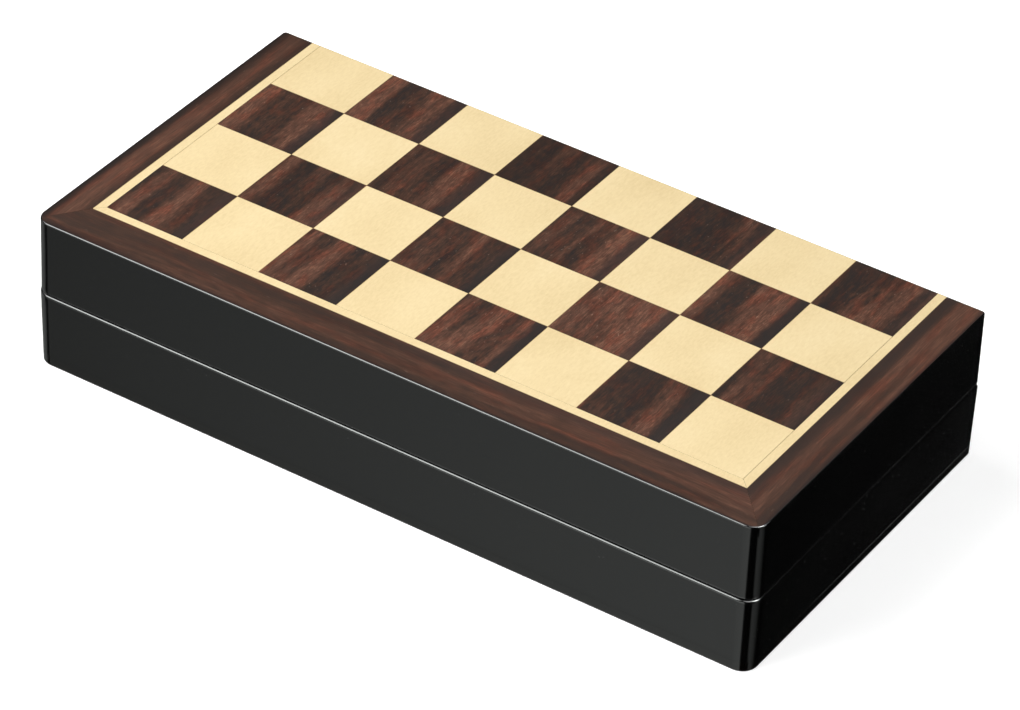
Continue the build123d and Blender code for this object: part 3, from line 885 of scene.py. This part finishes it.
def softened(values, spread):
    """Values widened over their neighbours and then evened out."""
    wide = np.max([np.roll(values, shift) for shift in range(-spread, spread + 1)], axis=0)
    kernel = np.hanning(2 * spread + 3)
    return np.convolve(np.pad(wide, spread + 1, mode="edge"), kernel / kernel.sum(), mode="valid")


def tray_heights(xs, ys, top):
    """The height of the foam at every point of a grid, with a moulded pocket for each man."""
    grid_x, grid_y = np.meshgrid(xs, ys)
    heights = np.full(grid_x.shape, top)
    for name, x, y, z, radius, heading in men_places():
        box_low, box_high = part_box(f"white_{name}")
        tall = (box_high.y - box_low.y) / MM + FELT
        reach = man_reach(f"white_{name}", x, y, z, heading)
        on_foot = (STATIONS >= -1) & (STATIONS <= FELT + 1.5)
        reach[:, on_foot] = np.maximum(reach[:, on_foot], radius)
        left, right, down = (softened(row, 4) for row in reach)
        station = (grid_y - y) * heading
        near = (np.abs(grid_x - x) < 18) & (station > -4) & (station < tall + 5)
        aside = grid_x[near] - x
        along = station[near]
        to_left, to_right, depth = (np.interp(along, STATIONS, row) for row in (left, right, down))
        width = np.where(aside < 0, to_left, to_right) + POCKET_PLAY
        bend = 6 if name.startswith("knight") else 2
        share = np.clip(np.abs(aside) / width, 0, 1)
        floor = z - (depth + BED_PLAY) * (1 - share ** bend) ** (1 / bend)
        within = np.minimum.reduce((width - np.abs(aside), along + 0.6, tall + POCKET_PLAY - along))
        sunk = soft_step(within, -SHOULDER, 0)
        heights[near] = np.minimum(heights[near], top + (floor - top) * sunk)
    return heights


def tray_shell(spacing):
    """Points and faces of the base's tray: the moulded top, its skirt and its flat underside."""
    low, high = (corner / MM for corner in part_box("base_tray"))
    xs = np.linspace(low.x, high.x, round((high.x - low.x) / spacing) + 1)
    ys = np.linspace(low.y, high.y, round((high.y - low.y) / spacing) + 1)
    heights = tray_heights(xs, ys, high.z)
    grid_x, grid_y = np.meshgrid(xs, ys)
    to_side = np.minimum.reduce((grid_x - low.x, high.x - grid_x, grid_y - low.y, high.y - grid_y))
    heights = np.maximum(heights - (1 - soft_step(to_side, -0.4, 1.4)) * 1.2, low.z + 0.6)
    points = np.stack((grid_x.ravel(), grid_y.ravel(), heights.ravel()), axis=1)
    columns, rows = len(xs), len(ys)
    index = np.arange(columns * rows).reshape(rows, columns)
    quads = np.stack((index[:-1, :-1], index[:-1, 1:], index[1:, 1:], index[1:, :-1]), axis=-1)
    faces = [tuple(face) for face in quads.reshape(-1, 4).tolist()]
    edge = np.concatenate((index[0, :-1], index[:-1, -1], index[-1, :0:-1], index[:0:-1, 0]))
    below = points[edge] * (1, 1, 0) + (0, 0, low.z)
    under = np.arange(len(edge)) + len(points)
    skirt = np.stack((np.roll(edge, -1), edge, under, np.roll(under, -1)), axis=1)
    faces += [tuple(face) for face in skirt.tolist()]
    faces.append(tuple(under[::-1].tolist()))
    return np.concatenate((points, below)), faces


# ---- settings
def colour_setting(name, description, default):
    """A colour that can be set in the panel."""
    return FloatVectorProperty(name=name, description=description, subtype="COLOR", default=default)


def length_setting(name, description, default):
    """A length that can be set in the panel."""
    return FloatProperty(name=name, description=description, unit="LENGTH", default=default)


def angle_setting(name, description, degrees):
    """An angle that can be set in the panel."""
    turn = math.radians(degrees)
    return FloatProperty(name=name, description=description, subtype="ANGLE", default=turn)


class BoardSettings(bpy.types.PropertyGroup):
    """Colours of the maple veneer."""

    maple_dark: colour_setting("Maple, darker", "Its darker clouds", (0.695, 0.54, 0.292))
    maple: colour_setting("Maple", "Its body", (0.775, 0.618, 0.350))
    maple_light: colour_setting("Maple, lighter", "Its lighter clouds", (0.835, 0.690, 0.425))


class PieceSettings(bpy.types.PropertyGroup):
    """Sizes of the pieces inside the box."""

    tray_spacing: FloatProperty(
        name="Tray mesh", description="Spacing of the trays' mesh, in millimetres", default=0.75,
        min=0.5,
    )
    felt_roughness: length_setting("Felt roughness", "How far wool stands out", 0.05 * MM)
    slot_width: length_setting("Screw slot", "Width of the screws' slots", 0.5 * MM)
    foot_segments: IntProperty(
        name="Foot segments", description="Sides of the knights' turned feet", default=96, min=24
    )


class StageSettings(bpy.types.PropertyGroup):
    """Camera, floor and studio lights."""

    azimuth: angle_setting("Azimuth", "Of the camera's aim, turned from +Y", 31.96)
    elevation: angle_setting("Elevation", "Of the camera, above the horizon", 36.44)
    roll: angle_setting("Roll", "Of the camera, about its own axis", 2.66)
    distance: length_setting("Distance", "From the camera to its target", 1.7214)
    lens: FloatProperty(name="Lens", description="Focal length in millimetres", default=176.3)
    floor_size: length_setting("Floor", "Width of the floor", 12.0)
    light: FloatProperty(
        name="Light", description="Strength of the soft boxes", subtype="FACTOR", default=1.0
    )


# ---- operators
def direction(azimuth, elevation):
    """The way from the box towards an azimuth, turned from +X, and an elevation, in degrees."""
    turn, rise = math.radians(azimuth), math.radians(elevation)
    return Vector((math.cos(turn) * math.cos(rise), math.sin(turn) * math.cos(rise), math.sin(rise)))


class CHESSBOX_OT_case(bpy.types.Operator):
    """Lacquers the panels and walls of both halves"""

    bl_idname = "chessbox.case"
    bl_label = "Case"

    def execute(self, context):
        paint(black_lacquer(), *both("panel", "front_rail", "rear_rail", "end_rails"))
        return {"FINISHED"}


class CHESSBOX_OT_board(bpy.types.Operator):
    """Veneers the board on the outer faces of both halves"""

    bl_idname = "chessbox.board"
    bl_label = "Board"

    def execute(self, context):
        board = context.scene.chessbox_board
        maple = [tuple(tone) for tone in (board.maple_dark, board.maple, board.maple_light)]
        paint(light_veneer(maple), *both("light_squares"))
        paint(dark_veneer(), *both("dark_squares"))
        paint(stringing_veneer(maple), *both("stringing"))
        paint(border_veneer(), *both("border"))
        return {"FINISHED"}


class CHESSBOX_OT_hinges(bpy.types.Operator):
    """Finishes the brass hinges with their pins and screws, and the magnets"""

    bl_idname = "chessbox.hinges"
    bl_label = "Hinges and magnets"

    def execute(self, context):
        paint(brushed_brass("hinge_brass", HINGE_BRASS), *both("hinge_leaves"), "hinge_pins")
        paint(nickel_plate(), *both("magnets"))
        brass = brushed_brass("screw_brass", SCREW_BRASS)
        screws = screw_pattern()
        slot_width = context.scene.chessbox_pieces.slot_width
        for half, turn in (("base", 0.0), ("lid", math.pi)):
            places = screw_places(half)
            mesh = screws.grow(places, brass, slot_width=slot_width, turn=(turn, 0.0, 0.0))
            new_piece(f"{half}_wood_screws", mesh, brass, half, "screw_brass", f"{half}_hinge_screws")
        return {"FINISHED"}


class CHESSBOX_OT_men(bpy.types.Operator):
    """Polishes the turned chessmen of both sides"""

    bl_idname = "chessbox.men"
    bl_label = "Chessmen"

    def execute(self, context):
        boxwood = turned_wood("polished_boxwood", False)
        rosewood = turned_wood("polished_rosewood", True)
        for half, wood in (("base", boxwood), ("lid", rosewood)):
            paint(wood, *[man_node(half, name) for name in MEN if not name.startswith("knight")])
            self.carve_knights(context, half, wood)
        self.glue_felt(context)
        return {"FINISHED"}

    def carve_knights(self, context, half, wood):
        """The knights, each a carved head on a turned foot."""
        segments = context.scene.chessbox_pieces.foot_segments
        foot_points, foot_faces = lathe(outline(KNIGHT_FOOT), segments)
        head_points, head_faces = knight_head()
        shift = len(foot_points)
        faces = foot_faces + [tuple(index + shift for index in face) for face in head_faces]
        slot = {"base": "boxwood", "lid": "rosewood"}[half]
        for name, x, y, z, *_ in men_places():
            if name.startswith("knight"):
                points = laid(foot_points + head_points, x, y, z)
                piece_name = f"carved_{man_node(half, name)}"
                mesh = shell(piece_name, points, faces, half)
                new_piece(piece_name, mesh, wood, half, slot, man_node(half, name))

    def glue_felt(self, context):
        """The felt pads under every man."""
        felt = baize()
        discs = felt_pattern()
        roughness = context.scene.chessbox_pieces.felt_roughness
        for half, side in HALVES.items():
            places, radii = [], []
            for _, x, y, z, radius, heading in men_places():
                height = z * MM if half == "base" else 2 * seam_height - z * MM
                places.append((x * MM, (y + heading * FELT / 2) * MM, height))
                radii.append((radius - FELT_INSET) * MM)
            mesh = discs.grow(places, felt, radii, roughness=roughness)
            new_piece(f"{side}_felt_discs", mesh, felt, half, "felt", f"{side}_felt_pads")


class CHESSBOX_OT_trays(bpy.types.Operator):
    """Moulds the foam trays round the men and flocks them"""

    bl_idname = "chessbox.trays"
    bl_label = "Trays"

    def execute(self, context):
        foam = flocking()
        points, faces = tray_shell(context.scene.chessbox_pieces.tray_spacing)
        for half in HALVES:
            mesh = shell(f"{half}_moulded_tray", points, faces, half)
            tray = new_piece(f"{half}_moulded_tray", mesh, foam, half, "tray_foam", f"{half}_tray")
        return {"FINISHED"}


class CHESSBOX_OT_stage(bpy.types.Operator):
    """Sets up the floor, the soft boxes and the camera"""

    bl_idname = "chessbox.stage"
    bl_label = "Stage"

    def execute(self, context):
        stage = context.scene.chessbox_stage
        low, high = cad_box
        centre = (low + high) / 2
        self.lay_floor(stage, low.z)
        self.hang_lights(stage, centre)
        self.hang_cards(centre)
        self.set_camera(context, stage, centre)
        context.scene.view_settings.view_transform = "Standard"
        return {"FINISHED"}

    def lay_floor(self, stage, height):
        """A plain pale floor, unseen by reflections."""
        half = stage.floor_size / 2
        corners = [(x * half, y * half, height) for x, y in SIDES]
        finish = Finish("floor_paper")
        tone = finish.noise(3.0)
        colour = finish.ramp(tone, (0.3, (0.90, 0.90, 0.90)), (0.7, (0.93, 0.93, 0.93)))
        paper = finish.surface(
            colour, 1.0, Specular_IOR_Level=0.0, Emission_Color=colour, Emission_Strength=0.45
        )
        floor = self.sheet("floor", corners, paper)
        floor.visible_glossy = False

    def sheet(self, name, corners, material):
        """A flat sheet of the stage."""
        mesh = bpy.data.meshes.new(name)
        mesh.from_pydata([tuple(corner) for corner in corners], [], [(0, 1, 2, 3)])
        mesh.materials.append(material)
        made = placed(name, mesh)
        return made

    def hang_lights(self, stage, centre):
        """Soft boxes round the box, in an almost dark room."""
        for number, (azimuth, elevation, distance, width, watts) in enumerate(SOFT_BOXES):
            data = bpy.data.lights.new(f"soft_box_{number}", "AREA")
            data.energy = watts * stage.light
            data.size = width
            lamp = placed(data.name, data)
            way = direction(azimuth, elevation)
            lamp.location = centre + way * distance
            lamp.rotation_euler = (-way).to_track_quat("-Z", "Y").to_euler()
        world = bpy.data.worlds.new("studio")
        world.use_nodes = True
        world.node_tree.nodes["Background"].inputs["Color"].default_value = ROOM_TONE
        bpy.context.scene.world = world

    def hang_cards(self, centre):
        """Grey cards that only reflections see."""
        for name, start, end, glow in STANDING_CARDS:
            low, top = centre.z - CARD_DROP, centre.z
            corners = [(*start, low), (*end, low), (*end, top), (*start, top)]
            axis = 0 if start[0] != end[0] else 1
            self.hang_card(name, corners, "XY"[axis], (start[axis], end[axis]), glow)
        for name, azimuth, elevation, distance, width, glow in HUNG_CARDS:
            way = direction(azimuth, elevation)
            side = way.cross((0, 0, 1)).normalized() * width / 2
            rise = side.cross(way).normalized() * width / 2
            middle = centre + way * distance
            corners = [middle + side * over + rise * up for over, up in SIDES]
            self.hang_card(name, corners, "X", (-1.0, 1.0), (glow, glow))

    def hang_card(self, name, corners, axis, span, glow):
        """One card, whose glow goes evenly from one value to another along an axis."""
        finish = Finish(name)
        share = (finish.place.part(axis) - span[0]) / (span[1] - span[0])
        strength = (1 - share) * glow[0] + share * glow[1]
        shine = finish.node("ShaderNodeEmission", None, {"Color": CARD_TONE, "Strength": strength})
        finish.node("ShaderNodeOutputMaterial", None, {"Surface": shine})
        card = self.sheet(name, corners, finish.material)
        card.visible_camera = card.visible_diffuse = card.visible_shadow = False

    def set_camera(self, context, stage, centre):
        """A long lens, looking down on the front and right of the box."""
        target = centre + Vector(AIM)
        back = direction(math.degrees(stage.azimuth) - 90, math.degrees(stage.elevation))
        data = bpy.data.cameras.new("camera")
        data.lens = stage.lens
        data.sensor_width = 36.0
        camera = placed("camera", data)
        camera.location = target + back * stage.distance
        camera.rotation_mode = "QUATERNION"
        level = (-back).to_track_quat("-Z", "Y")
        camera.rotation_quaternion = level @ Quaternion((0, 0, 1), stage.roll)
        context.scene.camera = camera


class CHESSBOX_PT_panel(bpy.types.Panel):
    """Lists the pieces of the chess box"""

    bl_idname = "CHESSBOX_PT_panel"
    bl_label = "Chess Box"
    bl_space_type = "VIEW_3D"
    bl_region_type = "UI"
    bl_category = "Chess Box"

    def draw(self, context):
        for operator in OPERATORS:
            self.layout.operator(operator.bl_idname)
        for key, group in SETTINGS.items():
            for name in group.__annotations__:
                self.layout.prop(getattr(context.scene, key), name)


SETTINGS = {
    "chessbox_board": BoardSettings,
    "chessbox_pieces": PieceSettings,
    "chessbox_stage": StageSettings,
}
OPERATORS = (
    CHESSBOX_OT_case,
    CHESSBOX_OT_board,
    CHESSBOX_OT_hinges,
    CHESSBOX_OT_men,
    CHESSBOX_OT_trays,
    CHESSBOX_OT_stage,
)
CLASSES = (*SETTINGS.values(), *OPERATORS, CHESSBOX_PT_panel)


def register():
    """Makes the classes known, and gives every scene their settings."""
    for known in CLASSES:
        bpy.utils.register_class(known)
    for key, group in SETTINGS.items():
        setattr(bpy.types.Scene, key, PointerProperty(type=group))


def unregister():
    """Takes the settings and the classes away again."""
    for key in SETTINGS:
        delattr(bpy.types.Scene, key)
    for known in reversed(CLASSES):
        bpy.utils.unregister_class(known)


def main():
    """Makes every piece."""
    register()
    for name in ("case", "board", "hinges", "men", "trays", "stage"):
        getattr(bpy.ops.chessbox, name)()


if __name__ == "__main__":
    main()
